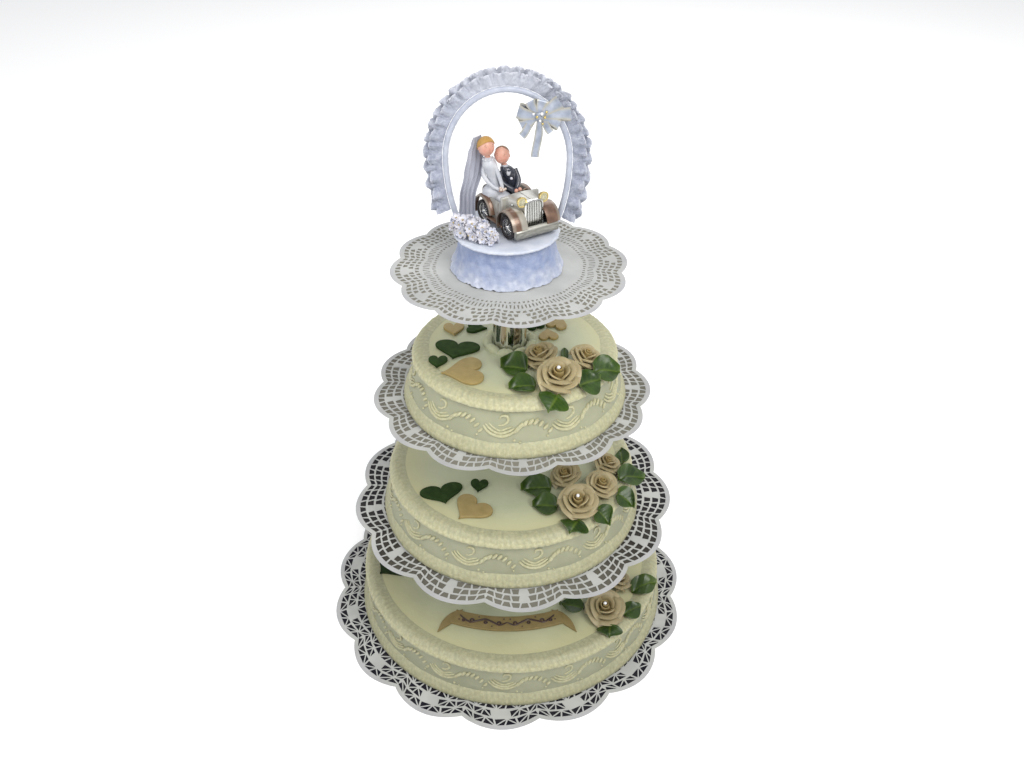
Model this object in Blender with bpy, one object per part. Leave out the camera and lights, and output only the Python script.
"""Tiered wedding cake: three round cakes and a topper, on posts, with paper doilies.

A standalone Blender script, in metres with +Z up. The origin is on the surface that the
cake stands on, under the middle of the lowest doily. Each named object is one separate
piece, parented to its tier's empty. The cakes are solid, with their piped borders and
scrolls as relief.
"""
import math
import random

import bmesh
import bpy
from mathutils import Matrix, Vector

TAU = 2 * math.pi
GAP = 0.0003                  # left between pieces that touch

# ---- driving dimensions ------------------------------------------------------------
TIER_PITCH = 0.127            # from one doily to the next
PAPER = 0.0006                # thickness of a doily
CAKE_TOP = 0.0495             # flat top of a cake above its underside
LIP_DROP = 0.0070             # lip of the top border below that flat top
SHELL_RISE = 0.0015           # crest of the top border above that flat top
SHELL_PITCH = 0.0180          # along both borders, from one ridge to the next
BORDER_WIDTH = 0.0085         # top border, from the wall's top inwards
BORDER_SWELL = 0.0042         # how far both borders stand proud of the wall
BASE_BORDER_HEIGHT = 0.0135
TAIL_SWELL = 0.45             # a shell's tail against its head
SCROLL_RELIEF = 0.0022
SCROLL_PITCH = 0.0610         # from one side scroll to the next
POST_RADIUS = 0.0150
POST_RING_RADIUS = 0.0198     # middle of the ring of shells round a post
POST_RING_SHELLS = 9
PLATE_THICKNESS = 0.0020
ICED_THICKNESS = 0.0022       # hearts and banner, cut from rolled marzipan
LEAF_THICKNESS = 0.0010

# Each tier: where its cake and its paper lie from the posts' axis, and what they measure.
# A cake's wall leans in, from cake_radius at the base border to top_radius at the lip.
TIERS = {
    1: {"cake_at": (0.0010, -0.0020), "cake_radius": 0.1520, "top_radius": 0.1475,
        "scroll_deg": 289.8, "paper_at": (-0.0030, 0.0), "paper_radius": 0.1835,
        "lobe_depth": 0.0100, "lobes": 15, "valley_deg": 280.0},
    2: {"cake_at": (0.0008, -0.0050), "cake_radius": 0.1195, "top_radius": 0.1125,
        "scroll_deg": 280.5, "paper_at": (0.0027, 0.0020), "paper_radius": 0.1560,
        "lobe_depth": 0.0095, "lobes": 13, "valley_deg": 260.1, "plate_radius": 0.1300},
    3: {"cake_at": (0.0042, -0.0020), "cake_radius": 0.0960, "top_radius": 0.0870,
        "scroll_deg": 262.3, "paper_at": (0.0018, 0.0055), "paper_radius": 0.1270,
        "lobe_depth": 0.0080, "lobes": 13, "valley_deg": 288.4, "plate_radius": 0.1000},
    4: {"paper_at": (-0.0004, 0.0), "paper_radius": 0.0998, "lobe_depth": 0.0065,
        "lobes": 12, "valley_deg": 262.0, "plate_radius": 0.0700},
}

# Roses: middle and radius.
ROSES = {
    1: [((0.0913, -0.0890), 0.0190), ((0.1035, -0.0535), 0.0155)],
    2: [((0.0605, -0.0795), 0.0183), ((0.0820, -0.0540), 0.0150),
        ((0.0525, -0.0408), 0.0150), ((0.0895, -0.0235), 0.0138)],
    3: [((0.0400, -0.0660), 0.0183), ((0.0272, -0.0315), 0.0158),
        ((0.0633, -0.0335), 0.0142)],
}
ROSE_HEIGHT = 0.92            # of its radius
ROSE_TILT_DEG = 16.0          # each rose leans out from its bouquet's middle

# Leaves: base, tip, width, and how far an edge is turned up, the right one if negative.
LEAVES = {
    1: [((0.1200, -0.0640), (0.1450, -0.0520), 0.0215, 0.0045),
        ((0.1085, -0.0950), (0.1260, -0.0840), 0.0185, 0.0025),
        ((0.0945, -0.1085), (0.0930, -0.1205), 0.0240, 0.0015),
        ((0.0715, -0.0850), (0.0490, -0.0795), 0.0230, 0.0040)],
    2: [((0.0375, -0.0520), (0.0110, -0.0545), 0.0235, -0.0065),
        ((0.0425, -0.0770), (0.0210, -0.0765), 0.0235, -0.0050),
        ((0.0595, -0.0980), (0.0520, -0.1105), 0.0265, 0.0025),
        ((0.0780, -0.0855), (0.0880, -0.0960), 0.0200, 0.0050),
        ((0.0980, -0.0625), (0.1120, -0.0715), 0.0205, 0.0050),
        ((0.1000, -0.0435), (0.1255, -0.0330), 0.0200, 0.0050),
        ((0.1060, -0.0215), (0.1065, -0.0010), 0.0140, -0.0020)],
    3: [((0.0145, -0.0450), (-0.0070, -0.0410), 0.0245, -0.0080),
        ((0.0210, -0.0690), (0.0000, -0.0715), 0.0230, -0.0045),
        ((0.0385, -0.0850), (0.0310, -0.0985), 0.0260, 0.0020),
        ((0.0570, -0.0715), (0.0745, -0.0610), 0.0235, 0.0040),
        ((0.0700, -0.0530), (0.0920, -0.0450), 0.0225, 0.0060),
        ((0.0350, -0.0130), (0.0185, -0.0175), 0.0078, 0.0000),
        ((0.0470, -0.0320), (0.0475, -0.0120), 0.0065, 0.0000)],
}

# Hearts: colour, tip, notch and width.
HEARTS = {
    1: [("green", (-0.1322, -0.0394), (-0.1180, -0.0250), 0.0400)],
    2: [("green", (-0.0579, -0.0728), (-0.0635, -0.0540), 0.0400),
        ("green", (-0.0297, -0.0580), (-0.0282, -0.0447), 0.0165),
        ("tan", (-0.0456, -0.0927), (-0.0307, -0.0748), 0.0375)],
    3: [("green", (-0.0495, -0.0284), (-0.0457, -0.0073), 0.0400),
        ("green", (-0.0622, -0.0424), (-0.0618, -0.0287), 0.0165),
        ("tan", (-0.0581, -0.0498), (-0.0313, -0.0465), 0.0395),
        ("tan", (-0.0498, 0.0085), (-0.0510, 0.0245), 0.0190),
        ("green", (-0.0205, 0.0205), (-0.0345, 0.0225), 0.0170),
        ("green", (0.0180, 0.0370), (0.0235, 0.0245), 0.0170),
        ("tan", (0.0330, 0.0205), (0.0343, 0.0065), 0.0180),
        ("tan", (0.0485, 0.0400), (0.0415, 0.0260), 0.0200)],
}

# Banner: an arc of ribbon with a folded tail at each end.
BANNER_RADIUS = 0.1530
BANNER_LOWEST = (-0.0030, -0.1120)   # the front edge's lowest point
BANNER_HALF_DEG = 21.0
BANNER_WIDTH = 0.0165
TAIL_REACH = (0.0170, -0.0265)       # from a back corner to that tail's point
TAIL_WIDTH = 0.0085

# Topper: places are from the middle of its drum, and heights from the disc where noted.
TOPPER_AT = (-0.0028, 0.0)
DRUM_RADIUS = 0.0395
DRUM_HEM_RADIUS = 0.0475
DRUM_HEIGHT = 0.0295
DISC_RADIUS = 0.0435
DISC_THICKNESS = 0.0030
DISC_SCALLOPS = 20
ARCH_AT = (0.0010, 0.0060)
ARCH_HALF_WIDTH = 0.0487
ARCH_FOOT_HALF_WIDTH = 0.0385
ARCH_WAIST = 0.0560                  # the widest place, above the disc
ARCH_TOP = 0.1115                    # middle of the tube, above the disc
ARCH_TUBE = 0.0024
FRILL_WIDTH = 0.0195
FRILL_PUFFS = 26
FRILL_ENDS = (0.0150, 0.0080)        # left and right, above the disc
BOW_AT = (0.0246, -0.0048, 0.0945)   # height above the disc

# Car, in its own frame: +X forwards, +Y to its left, heights above the disc.
CAR_AT = (0.0088, 0.0062)
CAR_HEADING_DEG = -58.0
WHEEL_RADIUS = 0.0095
WHEEL_TRACK = 0.0185
FRONT_AXLE, REAR_AXLE = 0.0165, -0.0200
FENDER_RADIUS = 0.0145
BONNET_SHOULDER, BONNET_TOP = 0.0240, 0.0300
TUB_HALF_WIDTH = 0.0178
TUB_WALL = 0.0012
TUB_LOW, SEAT_HEIGHT, TUB_HIGH = 0.0060, 0.0150, 0.0240

# Colour, roughness and metallic value of each material.
MATERIALS = {
    "paper": ((0.80, 0.80, 0.80), 0.75, 0.0),
    "cream": ((0.74, 0.70, 0.48), 0.55, 0.0),
    "chrome": ((0.62, 0.63, 0.62), 0.15, 1.0),
    "rose": ((0.62, 0.51, 0.36), 0.55, 0.0),
    "leaf": ((0.05, 0.14, 0.02), 0.25, 0.0),
    "heart_green": ((0.03, 0.08, 0.02), 0.50, 0.0),
    "heart_tan": ((0.52, 0.40, 0.19), 0.55, 0.0),
    "tulle": ((0.52, 0.58, 0.80), 0.80, 0.0),
    "satin": ((0.72, 0.72, 0.82), 0.35, 0.0),
    "lace": ((0.50, 0.53, 0.70), 0.70, 0.0),
    "white_fabric": ((0.85, 0.85, 0.88), 0.60, 0.0),
    "suit": ((0.02, 0.02, 0.03), 0.40, 0.0),
    "car_body": ((0.50, 0.47, 0.38), 0.30, 0.4),
}


# ---- scene helpers -------------------------------------------------------------------
def clear_scene():
    for item in list(bpy.data.objects):
        bpy.data.objects.remove(item)


def make_material(name):
    colour, roughness, metallic = MATERIALS[name]
    material = bpy.data.materials.new(name)
    material.use_nodes = True
    shader = material.node_tree.nodes["Principled BSDF"]
    shader.inputs["Base Color"].default_value = (*colour, 1.0)
    shader.inputs["Roughness"].default_value = roughness
    shader.inputs["Metallic"].default_value = metallic


def add_empty(name, parent, location):
    item = bpy.data.objects.new(name, None)
    item.parent = parent
    item.location = location
    bpy.context.scene.collection.objects.link(item)
    return item


def closed_mesh(name, shape):
    """A mesh from a shape's points and faces, with its faces turned outwards."""
    points, faces = shape
    mesh = bpy.data.meshes.new(name)
    mesh.from_pydata([tuple(point) for point in points], [], faces)
    work = bmesh.new()
    work.from_mesh(mesh)
    bmesh.ops.recalc_face_normals(work, faces=work.faces)
    work.to_mesh(mesh)
    work.free()
    return mesh


def add_object(name, shape, material, parent, location=(0.0, 0.0, 0.0), turn=(0.0, 0.0, 0.0)):
    item = bpy.data.objects.new(name, closed_mesh(name, shape))
    item.data.materials.append(bpy.data.materials[material])
    item.parent = parent
    item.location = location
    item.rotation_euler = turn
    bpy.context.scene.collection.objects.link(item)
    return item


def fuse(item, shapes):
    """Unite an object with more closed shapes, in its frame, in one Boolean on a collection."""
    extra = bpy.data.collections.new(item.name + "_relief")
    bpy.context.scene.collection.children.link(extra)
    for number, shape in enumerate(shapes):
        name = f"{item.name}_relief_{number}"
        piece = bpy.data.objects.new(name, closed_mesh(name, shape))
        piece.parent = item.parent
        piece.location = item.location
        piece.rotation_euler = item.rotation_euler
        extra.objects.link(piece)
    union = item.modifiers.new("union", "BOOLEAN")
    union.operation = "UNION"
    union.operand_type = "COLLECTION"
    union.solver = "EXACT"
    union.collection = extra
    graph = bpy.context.evaluated_depsgraph_get()
    item.data = bpy.data.meshes.new_from_object(item.evaluated_get(graph))
    item.modifiers.remove(union)
    for piece in list(extra.objects):
        bpy.data.objects.remove(piece)
    bpy.data.collections.remove(extra)


def round_shade(item, angle_deg=35.0):
    item.data.shade_smooth()
    item.data.set_sharp_from_angle(angle=math.radians(angle_deg))


# ---- shapes, each a pair of points and faces ---------------------------------------------
def circle(radius, height, columns, centre=(0.0, 0.0)):
    return [Vector((centre[0] + radius * math.cos(TAU * i / columns),
                    centre[1] + radius * math.sin(TAU * i / columns), height))
            for i in range(columns)]


def loft(rings, joined=False):
    """A skin through rings of equal count, with end caps or joined into a loop."""
    count = len(rings[0])
    points = [point for ring in rings for point in ring]
    faces = []
    for step in range(len(rings) - (0 if joined else 1)):
        low = step * count
        high = (step + 1) % len(rings) * count
        for i in range(count):
            j = (i + 1) % count
            faces.append([low + i, low + j, high + j, high + i])
    if not joined:
        faces.append(list(range(count))[::-1])
        faces.append([len(points) - count + i for i in range(count)])
    return points, faces


def prism(outline, low, high):
    return loft([[Vector((x, y, low)) for x, y in outline],
                 [Vector((x, y, high)) for x, y in outline]])


def box(low, high):
    (x0, y0, z0), (x1, y1, z1) = low, high
    return prism([(x0, y0), (x1, y0), (x1, y1), (x0, y1)], z0, z1)


def ellipsoid(radii, columns, rows):
    """A rounded blob about its own middle, with small flat poles."""
    rings = []
    for row in range(rows + 1):
        polar = math.pi * (0.10 + 0.80 * row / rows)
        rings.append([Vector((point.x * radii[0], point.y * radii[1], -radii[2] * math.cos(polar)))
                      for point in circle(math.sin(polar), 0.0, columns)])
    return loft(rings)


def turned(profile, columns, waves=0, centre=(0.0, 0.0)):
    """A turned shape from radii, heights and how far each radius waves round the circle."""
    rings = []
    for radius, height, wave in profile:
        rings.append([Vector((centre[0] + (radius + wave * math.cos(TAU * waves * i / columns))
                              * math.cos(TAU * i / columns),
                              centre[1] + (radius + wave * math.cos(TAU * waves * i / columns))
                              * math.sin(TAU * i / columns), height)) for i in range(columns)])
    return loft(rings)


def moved(shape, matrix):
    points, faces = shape
    return [matrix @ Vector(point) for point in points], faces


def merged(shapes):
    """Several shapes that don't meet, as one."""
    points, faces = [], []
    for shape_points, shape_faces in shapes:
        start = len(points)
        points.extend(shape_points)
        faces.extend([[start + i for i in face] for face in shape_faces])
    return points, faces


# ---- cakes, papers and posts; heights from the tier's plane --------------------------------
CAKE_LOW = PAPER + GAP
CAKE_FLAT = CAKE_LOW + CAKE_TOP
LIP_HEIGHT = CAKE_TOP - LIP_DROP     # above the cake's underside


def wall_at(tier, height):
    """The wall's radius: upright behind the base border, then leaning in to the lip."""
    share = (height - BASE_BORDER_HEIGHT) / (LIP_HEIGHT - BASE_BORDER_HEIGHT)
    lean = tier["top_radius"] - tier["cake_radius"]
    return tier["cake_radius"] + lean * min(max(share, 0.0), 1.0)


def doily(level, tier_empty):
    """A paper mat with a scalloped rim of round lobes that meet in sharp valleys."""
    tier = TIERS[level]
    per_lobe = 4
    steps = tier["lobes"] * per_lobe
    outline = []
    for i in range(steps):
        angle = math.radians(tier["valley_deg"]) + TAU * i / steps
        bulge = math.sin(math.pi * (i % per_lobe) / per_lobe) ** 0.7
        radius = tier["paper_radius"] - tier["lobe_depth"] * (1.0 - bulge)
        outline.append((radius * math.cos(angle), radius * math.sin(angle)))
    return add_object(f"doily_{level}", prism(outline, 0.0, PAPER), "paper", tier_empty,
                      location=(*tier["paper_at"], 0.0))


def cake_body(tier):
    """The cake's skin: a wall between a ribbed base border and a shell border on top."""
    columns = 2 * round(TAU * tier["cake_radius"] / SHELL_PITCH)
    profile = [                       # distance from the wall, swell there, height, rise there
        (0.0006, 0.0030, 0.0, 0.0),
        (0.0006, BORDER_SWELL, 0.0055, 0.0),
        (0.0, 0.0, BASE_BORDER_HEIGHT, 0.0),
        (0.0, 0.0, LIP_HEIGHT - 0.0032, 0.0),
        (0.0004, BORDER_SWELL, LIP_HEIGHT - 0.0008, 0.0016),
        (-0.0050, 0.0, CAKE_TOP, SHELL_RISE),
        (-BORDER_WIDTH, 0.0, CAKE_TOP, 0.0),
    ]
    rings = []
    for offset, swell, height, rise in profile:
        ring = []
        for i in range(columns):
            beat = 1.0 if i % 2 == 0 else TAIL_SWELL
            radius = wall_at(tier, height) + offset + swell * beat
            ring.append(Vector((radius * math.cos(TAU * i / columns),
                                radius * math.sin(TAU * i / columns), height + rise * beat)))
        rings.append(ring)
    return loft(rings)


def post_ring(centre):
    """The ring of shells piped round the foot of a post, sunk a little into the icing."""
    steps, rings = 2 * POST_RING_SHELLS, []
    for i in range(steps):
        beat = 1.0 if i % 2 == 0 else 0.62
        out = Vector((math.cos(TAU * i / steps), math.sin(TAU * i / steps), 0.0))
        section = [(-0.0042, -0.0008), (-0.0034, 0.0042 * beat), (0.0016, 0.0058 * beat),
                   (0.0046 + 0.0006 * beat, -0.0008)]
        rings.append([out * (POST_RING_RADIUS + reach)
                      + Vector((*centre, CAKE_TOP + height)) for reach, height in section])
    return loft(rings, joined=True)


def side_scroll(tier, middle):
    """One piped scroll on the wall: a shallow bowl that runs up into a roped arch."""
    route = [(-0.0165, 0.0265, 0.0012), (-0.0020, 0.0180, 0.0022), (0.0150, 0.0260, 0.0024),
             (0.0265, 0.0310, 0.0042), (0.0400, 0.0180, 0.0014)]
    sections = []
    for step, (along, height, half) in enumerate(route):
        before, after = route[max(step - 1, 0)], route[min(step + 1, len(route) - 1)]
        run = Vector((after[0] - before[0], after[1] - before[1])).normalized()
        section = []
        for across, out in ((half, -0.0008), (0.0, SCROLL_RELIEF), (-half, -0.0008)):
            level = height + run.x * across
            wall = wall_at(tier, level)
            angle = middle + (along - run.y * across) / wall
            section.append(Vector(((wall + out) * math.cos(angle), (wall + out) * math.sin(angle),
                                   level)))
        sections.append(section)
    return loft(sections)


def cake(level, tier_empty):
    tier = TIERS[level]
    item = add_object(f"cake_{level}", cake_body(tier), "cream", tier_empty,
                      location=(*tier["cake_at"], CAKE_LOW))
    count = round(TAU * tier["cake_radius"] / SCROLL_PITCH)
    start = math.radians(tier["scroll_deg"])
    scrolls = [side_scroll(tier, start + TAU * i / count) for i in range(count)]
    post_place = (-tier["cake_at"][0], -tier["cake_at"][1])
    fuse(item, [post_ring(post_place), merged(scrolls)])


def pillar(level, tier_empty):
    """The post on a cake's top, with the plate that it carries under the next doily."""
    high = TIER_PITCH - GAP - CAKE_FLAT - GAP
    low = high - PLATE_THICKNESS
    plate = TIERS[level + 1]["plate_radius"]
    profile = [(POST_RADIUS, 0.0, 0.0), (POST_RADIUS, low, 0.0), (plate, low, 0.0),
               (plate, high, 0.0)]
    item = add_object(f"pillar_{level}", turned(profile, 24), "chrome", tier_empty,
                      location=(0.0, 0.0, CAKE_FLAT + GAP))
    round_shade(item)


# ---- decorations on the cakes ------------------------------------------------------------------
def border_lift(level, x, y):
    """How high something must lie above the flat top to clear the top border."""
    tier = TIERS[level]
    out = math.hypot(x - tier["cake_at"][0], y - tier["cake_at"][1]) - tier["top_radius"]
    start, crest, edge = -BORDER_WIDTH - 0.0030, -0.0065, 0.0
    height = SHELL_RISE + 0.0012
    if out < start:
        return 0.0
    if out < crest:
        return height * (out - start) / (crest - start)
    if out < edge:
        return height
    return height - 0.5 * (out - edge)


def rose(name, level, centre, radius, lean, seed, tier_empty):
    """A marzipan rose: three rows of petals as wavy rims round a bud."""
    draw = random.Random(seed)
    height = radius * ROSE_HEIGHT
    profile = [                       # radius, height, petals, how far they stand out
        (0.40, 0.00, 0, 0.00), (1.00, 0.42, 5, 0.06), (0.74, 0.42, 0, 0.00),
        (0.68, 0.76, 4, 0.05), (0.44, 0.68, 0, 0.00), (0.34, 1.00, 3, 0.06),
    ]
    columns, rings = 10, []
    for reach, rise, petals, wave in profile:
        start = draw.uniform(0.0, TAU)
        ring = []
        for i in range(columns):
            angle = TAU * i / columns
            swing = 1.0 - wave + wave * math.cos(petals * angle + start)
            ring.append(Vector((radius * reach * swing * math.cos(angle),
                                radius * reach * swing * math.sin(angle), height * rise * swing)))
        rings.append(ring)
    tilt = math.radians(ROSE_TILT_DEG)
    outward = (Vector(centre) - Vector(TIERS[level]["cake_at"])).normalized()
    edge = Vector(centre) + outward * 0.55 * radius
    foot = CAKE_FLAT + GAP + 0.40 * radius * math.sin(tilt) + border_lift(level, *edge)
    turn = Matrix.Rotation(tilt, 3, Vector((-lean.y, lean.x, 0.0))).to_euler()
    add_object(name, loft(rings), "rose", tier_empty, location=(*centre, foot), turn=turn)


def bouquet_roses(level, tier_empty):
    places = ROSES[level]
    middle = sum((Vector(centre) for centre, _ in places), Vector((0.0, 0.0))) / len(places)
    for number, (centre, radius) in enumerate(places, start=1):
        lean = (Vector(centre) - middle).normalized() + Vector((0.0, -0.8))
        rose(f"rose_{level}_{number}", level, centre, radius, lean.normalized(),
             10 * level + number, tier_empty)


def leaf(name, level, base, tip, width, turn_up, tier_empty):
    """A pointed leaf with a crease, waved over what it lies on, in its own frame along +X."""
    run = Vector(tip) - Vector(base)
    length, heading = run.length, math.atan2(run.y, run.x)
    stations = [(0.22, 0.74), (0.50, 1.00), (0.78, 0.62)]

    def point(along, across, half):
        x, y = along * length, across * half
        place_x = base[0] + x * math.cos(heading) - y * math.sin(heading)
        place_y = base[1] + x * math.sin(heading) + y * math.cos(heading)
        rise = border_lift(level, place_x, place_y) + 0.0010 + 0.0012 * math.sin(math.pi * along)
        rise += max(0.0, across * math.copysign(1.0, turn_up)) * abs(turn_up)
        return Vector((x, y, rise + 0.0010 * abs(across)))

    top = [point(0.0, 0.0, 0.0)]
    for along, share in stations:
        top.extend(point(along, across, share * width / 2) for across in (1.0, 0.0, -1.0))
    top.append(point(1.0, 0.0, 0.0))
    last = len(top) - 1
    faces = [[0, 2, 1], [0, 3, 2], [last - 3, last - 2, last], [last - 2, last - 1, last]]
    for near in range(1, last - 3, 3):
        for k in (near, near + 1):
            faces.extend([[k, k + 1, k + 4], [k, k + 4, k + 3]])
    rim = [0, 3, 6, 9, last, 7, 4, 1]
    count = len(top)
    under = [[i + count for i in reversed(face)] for face in faces]
    sides = []
    for here, there in zip(rim, rim[1:] + rim[:1]):
        sides.extend([[here, there, there + count], [here, there + count, here + count]])
    low = [place - Vector((0.0, 0.0, LEAF_THICKNESS)) for place in top]
    item = add_object(name, (top + low, faces + under + sides), "leaf", tier_empty,
                      location=(*base, CAKE_FLAT + GAP), turn=(0.0, 0.0, heading))
    round_shade(item, 60.0)


def heart(name, colour, tip, notch, width, tier_empty):
    """A flat heart along +X from its tip; its formula has the notch 22 units away."""
    run = Vector(notch) - Vector(tip)
    steps = 16 if width > 0.03 else 12
    outline = []
    for i in range(steps):
        t = TAU * i / steps
        along = (17 + 13 * math.cos(t) - 5 * math.cos(2 * t) - 2 * math.cos(3 * t)
                 - math.cos(4 * t)) / 22
        outline.append((run.length * along, -width / 2 * math.sin(t) ** 3))
    add_object(name, prism(outline, 0.0, ICED_THICKNESS), "heart_" + colour, tier_empty,
               location=(*tip, CAKE_FLAT + GAP), turn=(0.0, 0.0, math.atan2(run.y, run.x)))


def banner(tier_empty):
    """The ribbon on the lowest cake: an arc and two pointed tails, cut as one piece."""
    steps = 8

    def arc(radius, angle_deg):
        angle = math.radians(angle_deg - 90.0)
        return Vector((radius * math.cos(angle), BANNER_RADIUS + radius * math.sin(angle)))

    front = [arc(BANNER_RADIUS, BANNER_HALF_DEG * (2 * i / steps - 1)) for i in range(steps + 1)]
    back = [arc(BANNER_RADIUS - BANNER_WIDTH, BANNER_HALF_DEG * (1 - 2 * i / steps))
            for i in range(steps + 1)]

    def tail(corner, side):
        bulge = corner + Vector((side * (TAIL_REACH[0] + TAIL_WIDTH) / 2, TAIL_REACH[1] / 2))
        point = corner + Vector((side * TAIL_REACH[0], TAIL_REACH[1]))
        hollow = bulge - Vector((side * TAIL_WIDTH, TAIL_WIDTH * 0.35))
        return [bulge, point, hollow]

    outline = front + tail(back[0], 1.0)[::-1] + back + tail(back[-1], -1.0)
    add_object("banner", prism(outline, 0.0, ICED_THICKNESS), "heart_tan", tier_empty,
               location=(*BANNER_LOWEST, CAKE_FLAT + GAP))


# ---- topper ---------------------------------------------------------------------------------------
def topper_drum(topper):
    profile = [(DRUM_HEM_RADIUS, 0.0, 0.0015), (DRUM_RADIUS + 0.0040, 0.0070, 0.0010),
               (DRUM_RADIUS, DRUM_HEIGHT, 0.0)]
    add_object("topper_drum", turned(profile, 30, waves=15), "tulle", topper)


def topper_disc(disc):
    profile = [(DISC_RADIUS - 0.0004, -DISC_THICKNESS, 0.0006), (DISC_RADIUS, 0.0, 0.0006)]
    add_object("topper_disc", turned(profile, 2 * DISC_SCALLOPS, waves=DISC_SCALLOPS),
               "white_fabric", disc)


def arch_route(steps, left_height, right_height):
    """Places along the arch and the direction out of it, from its left end to its right.

    Above its waist the arch is half an ellipse, and below it the legs draw in to the feet.
    """
    sweep = math.acos(ARCH_FOOT_HALF_WIDTH / ARCH_HALF_WIDTH)
    leg = ARCH_WAIST / math.sin(sweep)
    start = math.pi + math.asin((ARCH_WAIST - left_height) / leg)
    end = -math.asin((ARCH_WAIST - right_height) / leg)
    route = []
    for i in range(steps + 1):
        angle = start + (end - start) * i / steps
        rise = ARCH_TOP - ARCH_WAIST if math.sin(angle) > 0 else leg
        place = Vector((ARCH_HALF_WIDTH * math.cos(angle), 0.0,
                        ARCH_WAIST + rise * math.sin(angle)))
        out = Vector((math.cos(angle) * rise, 0.0, math.sin(angle) * ARCH_HALF_WIDTH))
        route.append((place, out.normalized()))
    return route


def topper_arch(disc):
    """A satin-wrapped hoop that stands on the disc with both feet."""
    sections = []
    route = arch_route(24, GAP, GAP)
    for step, (place, out) in enumerate(route):
        if step in (0, len(route) - 1):
            out = Vector((math.copysign(1.0, out.x), 0.0, 0.0))
        sections.append([place + out * (ARCH_TUBE * math.cos(TAU * k / 6))
                         + Vector((0.0, ARCH_TUBE * math.sin(TAU * k / 6), 0.0))
                         for k in range(6)])
    item = add_object("topper_arch", loft(sections), "satin", disc, location=(*ARCH_AT, 0.0))
    round_shade(item, 60.0)


def topper_frill(disc):
    """The gathered lace round the arch, in puffs that swing from front to back."""
    sections = []
    near = ARCH_TUBE + 0.0006
    for step, (place, out) in enumerate(arch_route(2 * FRILL_PUFFS, *FRILL_ENDS)):
        puff = step % 2 == 1
        far = near + (FRILL_WIDTH - near) * (1.0 if puff else 0.80)
        swing = 0.0022 if puff else -0.0022
        sections.append([place + out * near,
                         place + out * far + Vector((0.0, swing + 0.0020, 0.0)),
                         place + out * far + Vector((0.0, swing - 0.0020, 0.0))])
    add_object("topper_frill", loft(sections), "lace", disc, location=(*ARCH_AT, 0.0))


def topper_bow(disc):
    """A bow of three loops, a knot and three tails, in front of the arch's right shoulder."""
    def spun(angle_deg):
        return Matrix.Rotation(math.radians(-angle_deg), 4, "Y")

    def loop(angle_deg, length, width):
        reach = Matrix.Translation((0.0085, 0.0, 0.0))
        return moved(ellipsoid((length, 0.0030, width), 6, 4), spun(angle_deg) @ reach)

    def tail(angle_deg, length, width):
        return moved(box((0.0, -0.0006, -width / 2), (length, 0.0008, width / 2)), spun(angle_deg))

    item = add_object("topper_bow", ellipsoid((0.0050, 0.0036, 0.0050), 8, 4), "white_fabric",
                      disc, location=BOW_AT)
    fuse(item, [loop(168.0, 0.0075, 0.0050), loop(30.0, 0.0078, 0.0052),
                loop(207.0, 0.0070, 0.0040), tail(262.0, 0.0320, 0.0046),
                tail(228.0, 0.0200, 0.0042), tail(118.0, 0.0130, 0.0040)])


def topper_flowers(disc):
    """A low bank of fabric blossoms on the front left of the disc."""
    places = [(-0.0402, -0.0045, 0.0068), (-0.0345, -0.0130, 0.0080), (-0.0270, -0.0195, 0.0078),
              (-0.0187, -0.0242, 0.0072), (-0.0112, -0.0278, 0.0062)]
    blossoms = []
    for number, (x, y, radius) in enumerate(places):
        foot = 0.0004 * (number % 2)
        profile = [(radius * 0.75, foot, 0.0), (radius, radius * 0.8, 0.0008),
                   (radius * 0.40, radius * 1.9, 0.0)]
        blossoms.append(turned(profile, 10, waves=5, centre=(x, y)))
    item = add_object("topper_flowers", blossoms[0], "white_fabric", disc,
                      location=(0.0, 0.0, GAP))
    fuse(item, blossoms[1:])


def figure(name, rows, material, disc):
    """A figure from rings (x, y, height, radius), from its seat to its crown."""
    item = add_object(name, loft([circle(radius, height, 10, (x, y))
                                  for x, y, height, radius in rows]), material, disc)
    round_shade(item, 60.0)


def bride(disc):
    figure("bride", [
        (-0.0066, 0.0166, 0.0155, 0.0056), (-0.0082, 0.0160, 0.0270, 0.0064),
        (-0.0112, 0.0150, 0.0390, 0.0048), (-0.0132, 0.0148, 0.0480, 0.0060),
        (-0.0142, 0.0148, 0.0530, 0.0048), (-0.0152, 0.0148, 0.0555, 0.0030),
        (-0.0157, 0.0148, 0.0585, 0.0056), (-0.0162, 0.0150, 0.0635, 0.0076),
        (-0.0162, 0.0150, 0.0688, 0.0060), (-0.0162, 0.0150, 0.0714, 0.0026),
    ], "white_fabric", disc)


def groom(disc):
    figure("groom", [
        (0.0056, 0.0236, 0.0155, 0.0052), (0.0044, 0.0226, 0.0280, 0.0058),
        (0.0014, 0.0206, 0.0400, 0.0060), (-0.0002, 0.0196, 0.0442, 0.0050),
        (-0.0016, 0.0186, 0.0468, 0.0030), (-0.0028, 0.0182, 0.0496, 0.0054),
        (-0.0036, 0.0178, 0.0545, 0.0068), (-0.0036, 0.0178, 0.0591, 0.0055),
        (-0.0036, 0.0178, 0.0615, 0.0025),
    ], "suit", disc)


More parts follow.
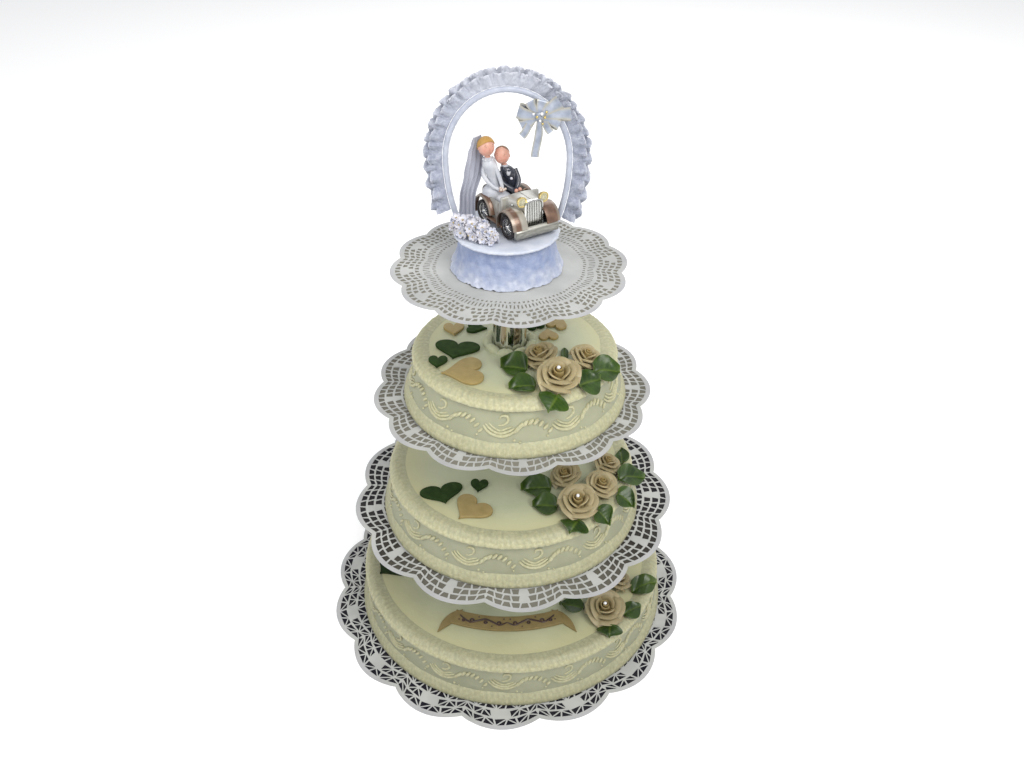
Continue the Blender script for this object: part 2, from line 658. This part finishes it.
def veil(disc):
    """A thin sheet of tulle that falls from the back of the bride's head to the disc."""
    levels = [                        # height, then the sheet's left and right ends
        (0.0040, (-0.0395, 0.0132), (-0.0258, 0.0157)),
        (0.0230, (-0.0375, 0.0134), (-0.0253, 0.0158)),
        (0.0400, (-0.0345, 0.0130), (-0.0225, 0.0165)),
        (0.0560, (-0.0305, 0.0140), (-0.0235, 0.0175)),
        (0.0690, (-0.0275, 0.0150), (-0.0245, 0.0190)),
    ]
    thickness = 0.0009
    rings = []
    for height, left, right in levels:
        start, end = Vector(left), Vector(right)
        across = end - start
        out = Vector((across.y, -across.x)).normalized()
        line = [start + across * share + out * ridge
                for share, ridge in ((0.0, 0.0), (0.33, 0.0012), (0.67, -0.0008), (1.0, 0.0))]
        ring = [place + out * thickness / 2 for place in line]
        ring += [place - out * thickness / 2 for place in reversed(line)]
        rings.append([Vector((place.x, place.y, height)) for place in ring])
    item = add_object("veil", loft(rings), "tulle", disc)
    round_shade(item, 60.0)


# ---- car --------------------------------------------------------------------------------------------
def mirrored_box(low, high, side):
    """A box on one side of the car, given for its left side."""
    ys = sorted((side * low[1], side * high[1]))
    return box((low[0], ys[0], low[2]), (high[0], ys[1], high[2]))


def wheel(axle, side):
    """A wheel that stands on the disc, its axle along Y."""
    rings = []
    for offset, share in ((-0.0026, 0.94), (0.0, 1.0), (0.0026, 0.94)):
        rings.append([Vector((axle + point.x, side * WHEEL_TRACK + offset, WHEEL_RADIUS + point.y))
                      for point in circle(WHEEL_RADIUS * share, 0.0, 12)])
    return loft(rings)


def fender(axle, inner, side):
    """A mudguard: a curved strip from the body out over a wheel."""
    outer = WHEEL_TRACK + 0.0036
    sections = []
    for k in range(6):
        angle = math.radians(10.0 + 38.0 * k)
        sections.append([Vector((axle + math.cos(angle) * radius, side * reach,
                                 WHEEL_RADIUS + math.sin(angle) * radius))
                         for radius, reach in ((FENDER_RADIUS, inner), (FENDER_RADIUS, outer),
                                               (FENDER_RADIUS - 0.0017, outer),
                                               (FENDER_RADIUS - 0.0017, inner))])
    return loft(sections)


def headlamp(side):
    lamp = turned([(0.0022, 0.0, 0.0), (0.0042, 0.0030, 0.0), (0.0042, 0.0050, 0.0)], 8)
    place = Matrix.Translation((0.0205, side * 0.0102, BONNET_TOP + 0.0008))
    return moved(lamp, place @ Matrix.Rotation(math.radians(90.0), 4, "Y"))


def bonnet():
    """The bonnet: six-sided, narrowing to the grille."""
    sections = []
    for x, half, low in ((0.0030, 0.0140, 0.0070), (0.0225, 0.0078, 0.0060)):
        sections.append([Vector((x, y, z)) for y, z in (
            (-half, low), (half, low), (half, BONNET_SHOULDER), (half * 0.6, BONNET_TOP),
            (-half * 0.6, BONNET_TOP), (-half, BONNET_SHOULDER))])
    return loft(sections)


def car(disc):
    """A vintage open car: bonnet, tub with walls round the seat, wheels and fittings."""
    half = TUB_HALF_WIDTH
    shapes = [
        bonnet(),
        box((0.0020, -half, TUB_LOW + 0.0010), (0.0050, half, BONNET_TOP - 0.0010)),  # scuttle
        box((-0.0310, -half, TUB_LOW + 0.0020), (-0.0270, half, TUB_HIGH + 0.0030)),  # seat back
        box((0.0220, -0.0088, 0.0055), (0.0245, 0.0088, BONNET_TOP + 0.0012)),        # grille
        box((0.0270, -0.0200, 0.0030), (0.0310, 0.0200, 0.0112)),                     # bumper
        box((0.0180, -0.0060, 0.0050), (0.0280, 0.0060, 0.0080)),                     # its bracket
    ]
    for side in (-1.0, 1.0):
        shapes.append(mirrored_box((-0.0300, half - TUB_WALL, SEAT_HEIGHT - 0.002),
                                   (0.0030, half, TUB_HIGH), side))
        shapes.append(mirrored_box((-0.0130, half - 0.0020, 0.0062),
                                   (0.0090, WHEEL_TRACK + 0.0030, 0.0080), side))
        shapes.append(headlamp(side))
        shapes.append(mirrored_box((0.0205, 0.0060, BONNET_TOP - 0.0040),
                                   (0.0235, 0.0104, BONNET_TOP - 0.0010), side))
        for axle, fender_inner in ((FRONT_AXLE, 0.0090), (REAR_AXLE, half - 0.0010)):
            shapes.append(wheel(axle, side))
            shapes.append(fender(axle, fender_inner, side))
        shapes.append(mirrored_box((FRONT_AXLE - 0.0012, 0.0060, WHEEL_RADIUS - 0.0012),
                                   (FRONT_AXLE + 0.0012, WHEEL_TRACK, WHEEL_RADIUS + 0.0012), side))
    tub = box((-0.0290, -half, TUB_LOW), (0.0040, half, SEAT_HEIGHT))
    item = add_object("car", tub, "car_body", disc, location=(*CAR_AT, GAP),
                      turn=(0.0, 0.0, math.radians(CAR_HEADING_DEG)))
    fuse(item, shapes)


# ---- the whole cake ---------------------------------------------------------------------------------
def centre_on_origin(axis, lowest):
    """Move the axis so that the lowest doily's outline is centred on the origin."""
    points = [vertex.co + lowest.location for vertex in lowest.data.vertices]
    axis.location = (-(min(p.x for p in points) + max(p.x for p in points)) / 2,
                     -(min(p.y for p in points) + max(p.y for p in points)) / 2, 0.0)


def decorate(level, tier_empty):
    bouquet_roses(level, tier_empty)
    for number, (base, tip, width, turn_up) in enumerate(LEAVES[level], start=1):
        leaf(f"leaf_{level}_{number}", level, base, tip, width, turn_up, tier_empty)
    for number, (colour, tip, notch, width) in enumerate(HEARTS[level], start=1):
        heart(f"heart_{level}_{number}", colour, tip, notch, width, tier_empty)


def dress_topper(topper):
    topper_drum(topper)
    disc = add_empty("disc_top", topper, (0.0, 0.0, DRUM_HEIGHT + GAP + DISC_THICKNESS))
    for make in (topper_disc, topper_arch, topper_frill, topper_bow, topper_flowers,
                 car, bride, groom, veil):
        make(disc)


def build():
    clear_scene()
    for name in MATERIALS:
        make_material(name)
    axis = add_empty("post_axis", None, (0.0, 0.0, 0.0))
    tiers = {level: add_empty(f"tier_{level}", axis, (0.0, 0.0, (level - 1) * TIER_PITCH))
             for level in TIERS}
    lowest = doily(1, tiers[1])
    centre_on_origin(axis, lowest)
    bpy.context.view_layer.update()
    for level in (1, 2, 3):
        cake(level, tiers[level])
        pillar(level, tiers[level])
        decorate(level, tiers[level])
        doily(level + 1, tiers[level + 1])
    banner(tiers[1])
    dress_topper(add_empty("topper", tiers[4], (*TOPPER_AT, PAPER + GAP)))


build()
